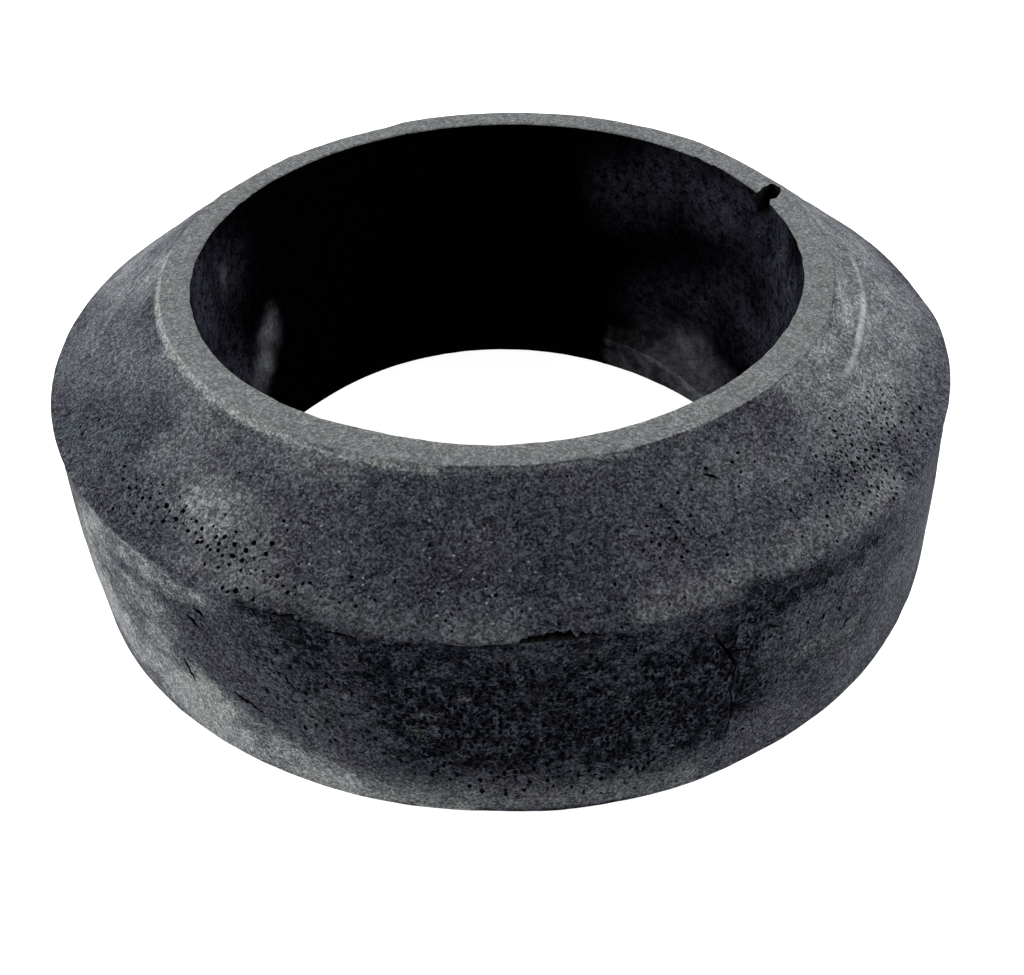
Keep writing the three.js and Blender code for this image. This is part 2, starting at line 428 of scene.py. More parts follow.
# %% [markdown]
# ## What the mould left
#
# The halves of the mould met slightly askew, so the parting line climbs towards the front. On the
# right a fold stands up from the bevel with a shallow trough behind it, on the left a faint band
# crosses the bevel, and the land's edge carries a thin bead. All are vertex moves, because each
# is lower than a millimetre and has no edge of its own. The fine ones follow the normals. The
# broad ones go outwards, and partly upwards on the bevel, so the parting line never folds over.

# %% Parting line's tilt and the wall's lean
foot_lean = 0.4 * MM
skin = points_of(ring)
skin_radius = np.hypot(skin[:, 0], skin[:, 1])
outside = skin_radius > land_radius
skin[outside, 2] += parting_rise(skin[outside, 1], skin[outside, 2])
down_wall = 1 - np.clip(skin[:, 2] / parting_height, 0, 1)
skin[:, 0] += foot_lean * down_wall * (skin_radius > bore_radius + bore_edge)
move_points(ring, skin)


# %% Fold, band, bead and unevenness
fold_path = [
    [8, 1.76], [2, 1.77], [-6, 1.766], [-18, 1.77], [-22, 1.756], [-29, 1.735], [-33, 1.72],
]
trough_path = [[8, 1.87], [-6, 1.905], [-16, 1.905], [-26, 1.88], [-31, 1.86]]
band_path = [[-173, 1.4], [-178, 1.48], [-184, 1.6], [-188, 1.72], [-191, 1.86]]
bead_path = [[175, 2], [190, 2], [215, 2], [240, 2], [252, 2]]
flow_lines = [
    (0.9, 0.07, [-78, 1.36], [-66, 1.3], [-54, 1.22], [-44, 1.2]),
    (0.8, -0.06, [-72, 1.2], [-60, 1.14], [-48, 1.13], [-36, 1.1]),
    (1.2, 0.05, [-120, 1.7], [-108, 1.62], [-96, 1.6], [-84, 1.66]),
    (1.4, 0.06, [-150, 1.62], [-141, 1.5], [-131, 1.45]),
]
form_strokes = [
    # half width and rise in mm, then the path's places as [azimuth, level]
    (5, 0.24, [30, 1.7], [40, 1.7], [50, 1.6]),
    (3, 0.08, [44, 1.9], [56, 1.9]),
    (8, -0.24, [10, 1], [30, 1]),
    (4.5, 0.2, [158, 1.4], [151, 1.65]),
    (3.6, -0.2, [112, 2], [130, 2]),
    (3.4, -0.16, [136, 2], [148, 2]),
    (4.6, -0.05, [-40, 0.12], [-26, 0.12]),
    (4.6, 0.18, [-22, 0.12], [-6, 0.12]),
    (8, 0.28, [-84, 0], [-70, 0]),
    (2, -0.2, [-136, 1.96], [-120, 1.96], [-100, 1.97]),
]

azimuths = np.degrees(np.arctan2(skin[:, 1], skin[:, 0]))
places = unrolled(azimuths, level_of(skin))
on_skin = skin_radius > bevel_top_radius - 0.02 * MM

lift = 0.3 * stroke(places, fold_path, 0.95) * MM
lift -= 0.14 * stroke(places, trough_path, 1.1) * MM
lift += 0.12 * stroke(places, band_path, 1.3) * MM
lift += painted(flow_lines, places) * MM
lift *= on_skin
on_top = (skin[:, 2] > height - land_step - 0.1 * MM) & (skin_radius > land_radius - 0.5 * MM)
lift += 0.09 * MM * on_top * stroke(places, bead_path, 0.8)

in_bore = skin_radius < bore_radius + bore_edge + hair
on_foot = skin[:, 2] < 0.02 * MM
form = painted(form_strokes, places) * MM * ~in_bore
turned_up = math.radians(50) * soft_step(2 * skin[:, 2] / parting_height - 1.4)
around = np.radians(azimuths)
form_ways = np.stack([
    np.cos(around) * np.cos(turned_up), np.sin(around) * np.cos(turned_up), np.sin(turned_up)
], axis=1)
calmer = 1 - 0.8 * (skin[:, 2] > height - 0.05 * MM)
unevenness = 0.07 * cloud(skin, 14 * MM, 1) * calmer
unevenness += 0.035 * cloud(skin, 3.2 * MM, 2) + 0.02 * cloud(skin, 1.1 * MM, 3, 3)
lift += unevenness * MM * ~on_foot
skin += points_of(ring, "normal") * lift[:, None] + form_ways * form[:, None]
move_points(ring, skin)
print("dents and folds from", round(lift.min() / MM, 2), "to", round(lift.max() / MM, 2), "mm")

# %% [markdown]
# On the right a lip of flash was left at the bore's foot. It stands in by more than a millimetre,
# with a narrow ledge on top, so two rows of the bore follow the ledge and what lies below them
# moves inwards. Near the front left the bore's upper rim leans in, and all of it is ragged.

# %% The bore's lip and rim
lip_azimuths = [6, 20, 34, 50, 58, 66, 75, 85, 95, 104, 116, 126, 136, 150, 166]
lip_widths = [0, 1, 1.65, 1.65, 1.45, 1.15, 0.8, 0.45, 0.2, 0.1, 0.1, 0.25, 0.45, 0.4, 0]
ledge_azimuths = [20, 30, 36, 43, 50, 55, 62, 80]
ledge_heights = [2, 2.1, 2.3, 3, 3.65, 3.9, 4, 4]
rim_azimuths = [-165, -150, -130, -122, -115, -106, -98, -91, -80, -60, -45, -30, -12]
rim_widths = [0, 0, 0.14, 0.4, 0.54, 0.48, 0.2, 0.08, 0.12, 0.2, 0.2, 0.2, 0]

# heights in mm of the foot's row, the ledge's two rows and the first row that stays
lip_rows = np.array([0.3, 3.3, 3.9, 7.4])
ledge_half = 0.22

skin = points_of(ring)
ledge = np.interp(azimuths, ledge_azimuths, ledge_heights) + 0.12 * cloud(skin, 2.5 * MM, 4)
for row in np.flatnonzero(in_bore & (skin[:, 2] > 0.28 * MM) & (skin[:, 2] < 7 * MM)):
    stops = lip_rows.copy()
    stops[1:3] = ledge[row] - ledge_half, ledge[row] + ledge_half
    skin[row, 2] = np.interp(skin[row, 2], lip_rows * MM, stops * MM)
below_ledge = soft_step((ledge + 0.24 - skin[:, 2] / MM) / 0.46)
inward = np.interp(azimuths, lip_azimuths, lip_widths) * below_ledge
near_rim = soft_step(1 - (height - skin[:, 2]) / (5 * MM))
inward += np.interp(azimuths, rim_azimuths, rim_widths) * near_rim
inward += 0.07 * cloud(skin, 1.7 * MM, 5) * soft_step(1 - (height - skin[:, 2]) / (1.2 * MM))
inward *= in_bore
across = np.hypot(skin[:, 0], skin[:, 1])
skin[:, :2] *= (1 - inward * MM / across)[:, None]
move_points(ring, skin)
print("the lip stands in by up to", round(inward.max(), 2), "mm")

# %% [markdown]
# ## Splits, the torn parting line and the nick
#
# Old sponge tears where it was pulled. A bump map could only hint at that, so each split is cut
# with a bar that is bent onto the skin. The bar starts as a grid that is extruded down twice,
# and its rows follow the split's path, with lips that wander so that they look torn and not
# sawn. A Boolean with the Manifold solver takes the bars out, and gives the faces that they
# leave the bars' own dark material: the inside of the sponge.


# %% Materials that are filled in later
def plain_material(name, colour):
    material = bpy.data.materials.new(name)
    material.diffuse_color = (*colour, 1)
    material.use_nodes = True
    return material


moulded_skin = plain_material("moulded_skin", (0.03, 0.033, 0.04))
open_cells = plain_material("open_cells", (0.004, 0.004, 0.005))
ring.data.materials.append(moulded_skin)


# %% A bar along a split
cutter_clearance = 0.8
rows_per_mm = 5


def run_along(points):
    """The length of a path up to each of its points."""
    return np.concatenate([[0], np.cumsum(np.linalg.norm(np.diff(points, axis=0), axis=1))])


def rough(x, y, z):
    """Rough noise at every place, from columns or single numbers."""
    spots = np.broadcast(x, y, z)
    return np.array([noise.fractal(Vector(spot), 0.8, 2.0, 3) for spot in spots])


def face_outwards(piece):
    """Turns a closed piece's faces outwards. Bending a bar can leave it inside out."""
    bpy.ops.object.mode_set(mode="EDIT")
    bpy.ops.mesh.select_all(action="SELECT")
    bpy.ops.mesh.normals_make_consistent(inside=False)
    bpy.ops.object.mode_set(mode="OBJECT")


def split_cutter(name, path, seed, roughness=0.6, gape=0.7):
    """A bar on a path of [azimuth, level, width, depth], the sizes in millimetres."""
    path = np.array(path, float)
    path[:, 2] *= gape
    run = run_along(skin_point(path[:, 0], path[:, 1]))
    rows = max(6, round(run[-1] / MM * rows_per_mm))

    bpy.ops.object.select_all(action="DESELECT")
    bpy.ops.mesh.primitive_grid_add(x_subdivisions=rows, y_subdivisions=2, size=1)
    bar = bpy.context.object
    bar.name = name
    bpy.ops.object.mode_set(mode="EDIT")
    for _ in range(2):
        bpy.ops.mesh.extrude_region_move(TRANSFORM_OT_translate={"value": (0, 0, -1)})
    bpy.ops.object.mode_set(mode="OBJECT")

    rows_of_bar = points_of(bar)
    along = (rows_of_bar[:, 0] + 0.5) * run[-1]
    azimuth, level, width, depth = (np.interp(along, run, column) for column in path.T)
    ahead, behind = (
        skin_point(*(np.interp(along + shift, run, path[:, i]) for i in range(2)))
        for shift in (0.2 * MM, -0.2 * MM)
    )
    out = skin_normal(azimuth, level)
    side = np.cross(ahead - behind, out)
    side /= np.linalg.norm(side, axis=1)[:, None]

    across = np.sign(rows_of_bar[:, 1]) * (np.abs(rows_of_bar[:, 1]) > 0.1)
    jag = rough(along / MM * 1.9, seed * 9.7 + across * 4.1, 0)
    sway = rough(along / MM * 0.9, seed * 5.3, 8)
    layer = np.round(-rows_of_bar[:, 2]).astype(int)
    spread = np.array([1.0, 0.9, 0.25])[layer]
    reach = np.choose(layer, [np.full(len(depth), cutter_clearance), -0.35 * depth, -depth]) * MM
    reach = np.where((layer == 2) & (across == 0), reach * 1.1, reach)
    half = width / 2 * MM * spread * np.clip(1 + 2 * roughness * jag, 0.15, 1.5)
    wander = sway * np.minimum(width, 0.5) * 0.4 * MM
    aside = side * (across * half + wander)[:, None]
    move_points(bar, skin_point(azimuth, level) + aside + out * reach[:, None])
    face_outwards(bar)
    bar.data.materials.append(open_cells)
    return bar


# paths of [azimuth, level, width, depth], the sizes in mm
parting_tear = [
    [-97, 0.99, 0.12, 0.4], [-94, 0.985, 0.18, 0.6], [-91.5, 0.99, 0.18, 0.7], [-89.4, 0.995, 0.24, 1],
    [-88.2, 1.022, 0.52, 1.8], [-86.8, 1.024, 0.68, 2.2], [-85.6, 1.028, 0.66, 2.4],
    [-84.3, 1.03, 0.8, 2.4], [-83.4, 1.03, 0.7, 2.2], [-82.3, 1.028, 0.62, 2],
    [-81, 1.025, 0.45, 1.6], [-80, 1.012, 0.22, 0.9], [-77.6, 1.005, 0.16, 0.6],
    [-75.5, 1, 0.1, 0.4],
]
parting_crack = [
    [-119.5, 0.985, 0.12, 0.5], [-117, 0.998, 0.16, 0.6], [-115.3, 1.018, 0.3, 0.9],
    [-114, 1.022, 0.42, 1.2], [-112.4, 1.018, 0.36, 1.2], [-111, 1.005, 0.22, 0.8],
    [-110, 0.995, 0.12, 0.5],
]
lip_crack = [[-109.4, 0.982, 0.2, 0.5], [-108, 0.985, 0.42, 0.9], [-106.4, 0.978, 0.18, 0.5]]
wall_crack = [
    [-66.8, 0.83, 0.3, 0.8], [-65.9, 0.77, 0.65, 1.4], [-65.3, 0.73, 1, 1.8],
    [-64.6, 0.68, 0.75, 1.8], [-64.2, 0.63, 0.45, 1.6], [-64.4, 0.57, 0.32, 1.4],
    [-64.6, 0.51, 0.35, 1.4], [-64.3, 0.44, 0.45, 1.5], [-64.1, 0.4, 0.55, 1.5],
    [-64.2, 0.34, 0.4, 1.2], [-64.4, 0.27, 0.3, 0.9], [-64.8, 0.2, 0.15, 0.5],
]
upper_branch = [[-65.4, 0.725, 0.6, 1.2], [-64, 0.725, 0.45, 0.9], [-62.2, 0.7, 0.15, 0.5]]
lower_branch = [[-64.3, 0.4, 0.4, 1], [-62.2, 0.395, 0.32, 0.8], [-60, 0.375, 0.12, 0.4]]
slits = [
    [[-127.2, 0.85, 0.4, 0.6], [-126.2, 0.84, 0.75, 1], [-125.4, 0.82, 0.3, 0.5]],
    [[-128.5, 0.79, 0.4, 0.6], [-127.7, 0.765, 0.8, 1], [-126.8, 0.75, 0.35, 0.5]],
    [[-131.3, 0.47, 0.4, 0.5], [-130.6, 0.41, 0.7, 0.9], [-130, 0.34, 0.3, 0.5]],
    [[-123.3, 0.44, 0.4, 0.5], [-121.4, 0.41, 0.8, 1], [-119.3, 0.385, 0.35, 0.5]],
    [[-46.2, 0.55, 0.15, 0.5], [-47.2, 0.53, 0.5, 1], [-48.4, 0.505, 0.2, 0.5]],
    [[-60.4, 0.8, 0.2, 0.6], [-59.6, 0.78, 0.45, 1], [-58.6, 0.755, 0.2, 0.5]],
    [[-60.4, 0.92, 0.3, 0.6], [-59.8, 0.93, 0.55, 1], [-59.2, 0.935, 0.2, 0.5]],
    [[-61.8, 1.76, 0.15, 0.5], [-60.9, 1.74, 0.38, 1], [-59.8, 1.7, 0.2, 0.5]],
]

# %% The nick's cutter
nick_depth = 2.2 * MM
nick_taper = 0.6
# corners of [azimuth, share of the land's width]
nick_outline = [
    [24.2, -0.3], [24.3, 0.1], [25.6, 0.5], [25.9, 0.8], [24.9, 0.93], [23.1, 0.93],
    [21.5, 0.7], [20.2, 0.45], [20.3, 0.15], [18.7, 0], [19, -0.3],
]


def nick_cutter(name, seed):
    """A plug with the nick's ragged outline, that narrows towards its bottom."""
    corners = np.array(nick_outline + nick_outline[:1], float)
    angle = np.radians(corners[:, 0])
    radius = bore_radius + land_width * corners[:, 1]
    plan = np.stack([radius * np.cos(angle), radius * np.sin(angle)], axis=1)
    run = run_along(plan)

    bpy.ops.object.select_all(action="DESELECT")
    bpy.ops.mesh.primitive_circle_add(vertices=44, radius=1, fill_type="TRIFAN")
    plug = bpy.context.object
    plug.name = name
    bpy.ops.object.mode_set(mode="EDIT")
    for _ in range(3):
        bpy.ops.mesh.extrude_region_move(TRANSFORM_OT_translate={"value": (0, 0, -1)})
    bpy.ops.object.mode_set(mode="OBJECT")

    rows = points_of(plug)
    middle = plan[:-1].mean(axis=0)
    turn = (np.arctan2(rows[:, 1], rows[:, 0]) / (2 * math.pi)) % 1 * run[-1]
    edge = np.stack([np.interp(turn, run, plan[:, i]) for i in range(2)], axis=1)
    rim = np.hypot(rows[:, 0], rows[:, 1]) > 0.5
    layer = np.round(-rows[:, 2]).astype(int)
    scale = np.array([1.0, 1.0, 0.85, nick_taper])[layer] * rim
    ragged = np.array([
        noise.noise(Vector((p[0] * 1600, p[1] * 1600, d * 1.3 + seed))) for p, d in zip(edge, layer)
    ])
    scale = scale * (0.93 + 0.16 * ragged)
    spot = middle + (edge - middle) * scale[:, None]
    drops = np.array([cutter_clearance * MM, -0.25 * nick_depth, -0.7 * nick_depth, -nick_depth])
    move_points(plug, np.column_stack([spot, height + drops[layer]]))
    face_outwards(plug)
    plug.data.materials.append(open_cells)
    return plug


# %% Cutting them out
def join_pieces(name, pieces):
    bpy.ops.object.select_all(action="DESELECT")
    for piece in pieces:
        piece.select_set(True)
    bpy.context.view_layer.objects.active = pieces[0]
    bpy.ops.object.join()
    pieces[0].name = name
    return pieces[0]


def cut_away(piece, cutter):
    """Takes the cutter out of the piece. The new faces keep the cutter's material."""
    bpy.ops.object.select_all(action="DESELECT")
    bpy.context.view_layer.objects.active = piece
    piece.select_set(True)
    modifier = piece.modifiers.new(cutter.name, "BOOLEAN")
    modifier.operation = "DIFFERENCE"
    modifier.solver = "MANIFOLD"
    modifier.material_mode = "TRANSFER"
    modifier.object = cutter
    bpy.ops.object.modifier_apply(modifier=modifier.name)
    bpy.data.objects.remove(cutter)
    piece.data.calc_loop_triangles()
    print(piece.name, "has", len(piece.data.loop_triangles), "triangles")


first_cuts = [
    split_cutter("tear", parting_tear, 1, roughness=0.7, gape=0.64),
    split_cutter("crack", parting_crack, 2),
    split_cutter("lip_crack", lip_crack, 7),
    split_cutter("upright_crack", wall_crack, 3, gape=0.5),
]
first_cuts += [split_cutter(f"slit_{n}", path, 10 + n) for n, path in enumerate(slits)]
first_cuts.append(nick_cutter("nick", 4))
cut_away(ring, join_pieces("first_cuts", first_cuts))
branches = [
    split_cutter("upper_branch", upper_branch, 5), split_cutter("lower_branch", lower_branch, 6)
]
cut_away(ring, join_pieces("branches", branches))

# %% [markdown]
# ## Open pits
#
# Where a gas bubble burst at the skin, it left a round black hole. A texture could paint the
# holes, but the larger ones are deep enough to catch the light, so they are cut. One ball of 80
# faces is modelled, copied to every seeded place, and all the copies are taken out at once. They
# keep apart, because the Manifold solver wants a cutter whose parts don't run into each other.

# %% Clusters of pits
rng = np.random.default_rng(20)
pit_clusters = [
    # azimuth, level, spread in degrees, spread in levels, number, smallest and largest in mm
    (-140.5, 1.3, 2.2, 0.045, 20, 0.26, 0.48),
    (-136, 1.31, 1.8, 0.04, 30, 0.26, 0.52),
    (-129.5, 1.29, 2, 0.035, 26, 0.24, 0.46),
    (-123.5, 1.25, 2, 0.04, 44, 0.26, 0.6),
    (-119, 1.21, 2.2, 0.02, 22, 0.22, 0.4),
    (-113, 1.18, 3, 0.05, 12, 0.22, 0.42),
    (-119.5, 1.33, 2.4, 0.05, 8, 0.3, 0.52),
    (-121.3, 1.062, 1.1, 0.01, 12, 0.3, 0.55),
    (-68, 1.48, 2.4, 0.055, 26, 0.2, 0.4),
    (-39, 1.35, 5.2, 0.12, 420, 0.19, 0.38),
    (-30.5, 1.24, 2.6, 0.08, 70, 0.2, 0.46),
    (-28, 1.45, 3.2, 0.07, 50, 0.2, 0.36),
    (-24, 1.21, 0.8, 0.022, 6, 0.4, 0.7),
    (-155, 1.34, 5, 0.1, 20, 0.2, 0.42),
    (-58, 1.7, 9, 0.1, 20, 0.2, 0.4),
    (-95, 1.35, 22, 0.22, 90, 0.18, 0.36),
    (20, 1.35, 14, 0.2, 16, 0.2, 0.38),
    (75, 1.4, 10, 0.12, 30, 0.2, 0.42),
    (118, 1.25, 6, 0.1, 26, 0.2, 0.46),
    (160, 1.5, 12, 0.2, 16, 0.2, 0.38),
    (-74, 0.45, 4.5, 0.17, 150, 0.18, 0.36),
    (-96, 0.62, 12, 0.18, 60, 0.18, 0.36),
    (-112, 0.72, 6, 0.12, 34, 0.18, 0.36),
    (-56, 0.86, 4, 0.06, 12, 0.22, 0.46),
    (45, 0.5, 30, 0.25, 24, 0.2, 0.38),
    (130, 0.6, 25, 0.25, 28, 0.2, 0.38),
]


def pit_places():
    """Seeded places that keep apart, as rows of azimuth, level and diameter in millimetres."""
    kept = []
    spots = np.empty((0, 3))
    widths = np.empty(0)
    for azimuth, level, turn_spread, level_spread, number, small, large in pit_clusters:
        low, high = (0.04, 0.96) if level < 1 else (1.035, 1.96)
        for _ in range(number):
            here = azimuth + turn_spread * rng.normal()
            there = level + level_spread * rng.normal()
            width = small + (large - small) * rng.random() ** 1.8
            if not low < there < high:
                continue
            spot = skin_point(here, there) / MM
            reach = (widths + width * 1.5) / 2 * 1.25
            if np.any(np.linalg.norm(spots - spot, axis=1) < reach):
                continue
            kept.append((here, there, width))
            spots = np.vstack([spots, spot])
            widths = np.append(widths, width * 1.5)
    return np.array(kept)


pits = pit_places()
print(len(pits), "pits")

# %% One ball, copied to every pit
bpy.ops.object.select_all(action="DESELECT")
bpy.ops.mesh.primitive_ico_sphere_add(subdivisions=2, radius=0.5)
pit_ball = bpy.context.object
pit_ball.name = "pits"
ball = points_of(pit_ball)
ball_faces = np.array([face.vertices[:] for face in pit_ball.data.polygons])

ring_faces = [face.vertices[:] for face in ring.data.polygons]
skin_tree = BVHTree.FromPolygons(points_of(ring).tolist(), ring_faces)
azimuth, level, width = pits.T
centres = np.array([skin_tree.find_nearest(spot)[0] for spot in skin_point(azimuth, level)])
outward = skin_normal(azimuth, level)
turn = np.radians(azimuth)
sideways = np.stack([-np.sin(turn), np.cos(turn), np.zeros(len(turn))], axis=1)
upward = np.cross(outward, sideways)
on_wall, on_bevel = 1.3 + 0.5 * rng.random(len(pits)), 0.9 + 0.3 * rng.random(len(pits))
lying = np.where(level < 1, on_wall, on_bevel)
sizes = width * MM
wobble = 1 + 0.12 * rng.normal(size=(len(pits), len(ball)))
copies = (
    centres[:, None]
    + (ball[None, :, 0] * wobble * (sizes * lying)[:, None])[..., None] * sideways[:, None]
    + (ball[None, :, 1] * wobble * sizes[:, None])[..., None] * upward[:, None]
    + (ball[None, :, 2] * (sizes * 1.3)[:, None])[..., None] * outward[:, None]
)
faces = ball_faces[None] + (np.arange(len(pits)) * len(ball))[:, None, None]
pit_ball.data = bpy.data.meshes.new("pits")
pit_ball.data.from_pydata(copies.reshape(-1, 3).tolist(), [], faces.reshape(-1, 3).tolist())
pit_ball.data.materials.append(open_cells)
cut_away(ring, pit_ball)
bpy.ops.object.shade_smooth_by_angle(angle=math.radians(40))

# %% [markdown]
# ## Where the skin is dusty or ground, and where light and shade are painted
#
# The finish isn't the same all over. The land was ground flat and is pale. Dust clings to the
# foot of the wall on the left and under the parting line. Painted highlights run along the land's
# edge and along the crest of the fold, which is also dusty, and painted light makes the sides and
# the back paler. Painted shade darkens the front of the wall and the bore, with painted shadows
# under the parting line, round the cracks and along the foot. Every vertex gets these amounts as
# attributes, from strokes on the unrolled skin, and the material adds the fine grain to them.

# %% Painting the attributes
skin = points_of(ring)
skin_radius = np.hypot(skin[:, 0], skin[:, 1])
azimuths = np.degrees(np.arctan2(skin[:, 1], skin[:, 0]))
places = unrolled(azimuths, level_of(skin))
mottle = cloud(skin, 5 * MM, 11, 3)
smear = cloud(skin * np.array([1, 1, 2.0]), 2.2 * MM, 12, 3)
skin_share = (skin_radius > bevel_top_radius - 0.05 * MM).astype(float)
bore_share = (skin_radius < bore_radius + 0.12 * MM) & (skin[:, 2] < height - 0.12 * MM)
land_share = soft_step((land_radius + 0.16 * MM - skin_radius) / (0.34 * MM))
land_share *= skin[:, 2] > height - 0.7 * MM

dust_strokes = [
    # half width in mm, strength, then the path's places as [azimuth, level]
    (11, 0.58, [-178, 0.5], [-164, 0.5], [-153, 0.6]),
    (7.5, 1.05, [-152, 0.3], [-140, 0.22], [-129, 0.2]),
    (6, 0.9, [-129, 0.18], [-120, 0.12], [-113, 0.07]),
    (4, 0.75, [-113, 0.05], [-105, 0.02], [-97, 0]),
    (2.2, 0.6, [-147, 0.91], [-140, 0.89], [-135, 0.895], [-130, 0.9], [-125, 0.915]),
    (0.9, 0.5, [-147, 0.955], [-143, 0.955], [-137, 0.965], [-131, 0.985]),
    (2, 0.6, [-137.5, 0.49], [-135, 0.49]),
    (6, 0.5, [-150, 0.78], [-142, 0.72], [-134, 0.66]),
    (2.4, 0.4, [-128.6, 0.43], [-127, 0.35]),
    (0.9, 0.3, [-109.5, 0.64], [-107.2, 0.64]),
    (2.2, 0.22, [-111, 0.57], [-113, 0.45], [-111.4, 0.32]),
    (1, 0.25, [-100.6, 0.585], [-97.5, 0.595]),
    (0.8, 0.45, [-100.5, 0.508], [-99.8, 0.48]),
    (0.7, 0.4, [-98, 0.51]),
    (0.7, 0.35, [-95.9, 0.7], [-94.4, 0.705]),
    (2, 0.3, [-47.8, 0.67], [-45.4, 0.76], [-43.6, 0.8]),
    (2.6, 0.25, [-54.8, 0.54], [-51.4, 0.525], [-45.6, 0.48]),
    (4.6, 0.66, [-132.5, 1.47], [-129, 1.44], [-126.5, 1.38]),
    (3.4, 0.25, [-18, 1.5], [-22, 1.42]),
    (2, 0.15, [-47, 1.13], [-40, 1.11]),
]
# painted light: paler rubber on the sides and the back, where the light grazes, on the lips over the
# parting line, and low on the front of the wall
painted_light_strokes = [
    (10, 0.6, [160, 1.2], [170, 1.7], [176, 1.95]),
    (8, 0.26, [180, 1.3], [192, 1.6], [202, 1.9]),
    (4, 0.35, [205, 1.95], [222, 1.95], [240, 1.95]),
    (6, 0.35, [-140, 1.6], [-126, 1.5], [-122, 1.36]),
    (3, 0.2, [-120, 1.9], [-112, 1.9]),
    (2.6, 0.3, [-130, 1.12], [-112, 1.12], [-102, 1.06], [-90, 1.055]),
    (9, 0.6, [-36, 1.86], [-14, 1.7], [4, 1.6], [20, 1.5], [40, 1.5]),
    (7, 0.3, [-26, 1.4], [-12, 1.3], [4, 1.2]),
    (6, 0.22, [-62, 1.8], [-46, 1.6], [-34, 1.5]),
    (3.4, 0.35, [-74, 1.08], [-60, 1.12], [-48, 1.14], [-38, 1.12]),
    (3, 0.4, [-40, 1.93], [-14, 1.92], [10, 1.9], [26, 1.9]),
    (9, 0.15, [-18, 0.5], [-34, 0.45], [-44, 0.3]),
    (3.6, 0.42, [-104, 0.1], [-86, 0.08], [-70, 0.08]),
    (14, 0.5, [60, 1.5], [90, 1.5], [120, 1.5], [150, 1.5]),
    (14, 0.3, [20, 0.5], [60, 0.5], [110, 0.5], [160, 0.5]),
]
# painted shade: the front of the wall and of the bevel darkened, and painted shadows under the parting
# line, round the cracks and the big pits, in the trough behind the fold and along the foot
painted_shade_strokes = [
    (6, 0.8, [-116, 0.93], [-104, 0.88], [-88, 0.78], [-74, 0.8], [-62, 0.9]),
    (9.5, 1, [-98, 0.5], [-84, 0.5], [-76, 0.45], [-69, 0.5]),
    (1, 0.8, [-120, 0.985], [-107, 0.972], [-90, 0.975], [-75, 0.98], [-62, 0.975]),
    (1.5, 0.8, [-66.5, 0.8], [-65.2, 0.7], [-65.2, 0.4], [-65.6, 0.2]),
    (1.8, 1, [-66, 0.77], [-65, 0.71]),
    (0.7, 1.6, [-112, 0], [-94, 0], [-76, 0]),
    (1, 0.7, [-64.7, 0.416], [-60, 0.39]),
    (3, 0.7, [-62, 0.95], [-50, 0.93], [-40, 0.9]),
    (14, 0.42, [-106, 0.64], [-90, 0.6], [-48, 0.6]),
    (9, 0.15, [-60, 0.5], [-48, 0.45], [-36, 0.4]),
    (5, 0.22, [-134, 0.8], [-128, 0.62], [-120, 0.5]),
    (5, 0.35, [-128, 0.8], [-118, 0.8], [-112, 0.6]),
    (8, 0.34, [-102, 1.5], [-90, 1.6], [-80, 1.4]),
    (2.2, 0.5, [-24, 1.21]),
    (1, 0.3, [-12, 1.88], [2, 1.88]),
]
pore_strokes = [
    (10, 0.85, [-94, 0.45], [-78, 0.5], [-68, 0.6]),
    (9, 0.4, [-110, 0.6], [-92, 0.65]),
    (7, 0.2, [-62, 0.7], [-50, 0.7]),
    (7, 0.2, [-42, 1.35], [-30, 1.3]),
    (4, 0.15, [-136, 1.34], [-121, 1.28]),
]
speck_strokes = [
    (4, 0.3, [-98, 1.48], [-92, 1.5]),
    (6, 0.08, [-140, 2.3], [-90, 2.3], [-30, 2.3], [20, 2.3]),
    (8, 0.1, [-118, 1.3], [-100, 1.3], [-84, 1.3]),
]
# painted highlights along the land's edge bead and the crest near it, and on the band across the
# bevel, which is partly its own pale mould mark
crest_highlight_strokes = [
    (1, 0.4, *band_path),
    (0.9, 0.3, [22, 1.86], [16, 1.89], [8, 1.95], [0, 1.985]),
    (0.75, 1.25, [172, 2], [190, 2], [215, 2], [236, 2]),
    (0.7, 0.75, [236, 2], [250, 2], [260, 2]),
    (0.6, 0.36, [260, 2], [276, 2], [292, 2]),
]
# painted highlight along the fold's crest, which is also dusty
fold_strokes = [
    (2, 0.45, [4, 1.77], [-6, 1.766]),
    (2.6, 1, [-9, 1.766], [-14, 1.767], [-19, 1.765]),
    (2, 0.6, [-22, 1.756], [-28, 1.735]),
]


# %% Where the strokes fall
gap_reach = 1.5

dust_and_highlight = painted(dust_strokes, places) * (0.85 + 0.35 * mottle + 0.5 * smear) * skin_share
# the painted highlights of the crests are added to the dust
crest_highlights = painted(crest_highlight_strokes, places) * (0.95 + 0.3 * smear)
dust_and_highlight += crest_highlights * (skin_radius > land_radius - 0.3 * MM)
# painted light, from the strokes above
painted_light = painted(painted_light_strokes, places) * (0.85 + 0.5 * mottle + 0.35 * smear) * skin_share
# painted shade and painted shadows, from the strokes above
painted_shade = painted(painted_shade_strokes, places) * (0.95 + 0.5 * mottle + 0.5 * smear) * skin_share
pored = (0.06 + painted(pore_strokes, places) * (0.9 + 0.5 * mottle)) * skin_share
specked = 0.07 + painted(speck_strokes, places)
# painted highlight along the fold's crest
fold = painted(fold_strokes, places) * (0.9 + 0.3 * smear) * skin_share
fold_line = np.array(fold_path[::-1])
fold_middle = np.interp(azimuths, fold_line[:, 0], unrolled(*fold_line.T)[:, 1])
fold_gap = 0.5 + (places[:, 1] - fold_middle) / (2 * gap_reach)
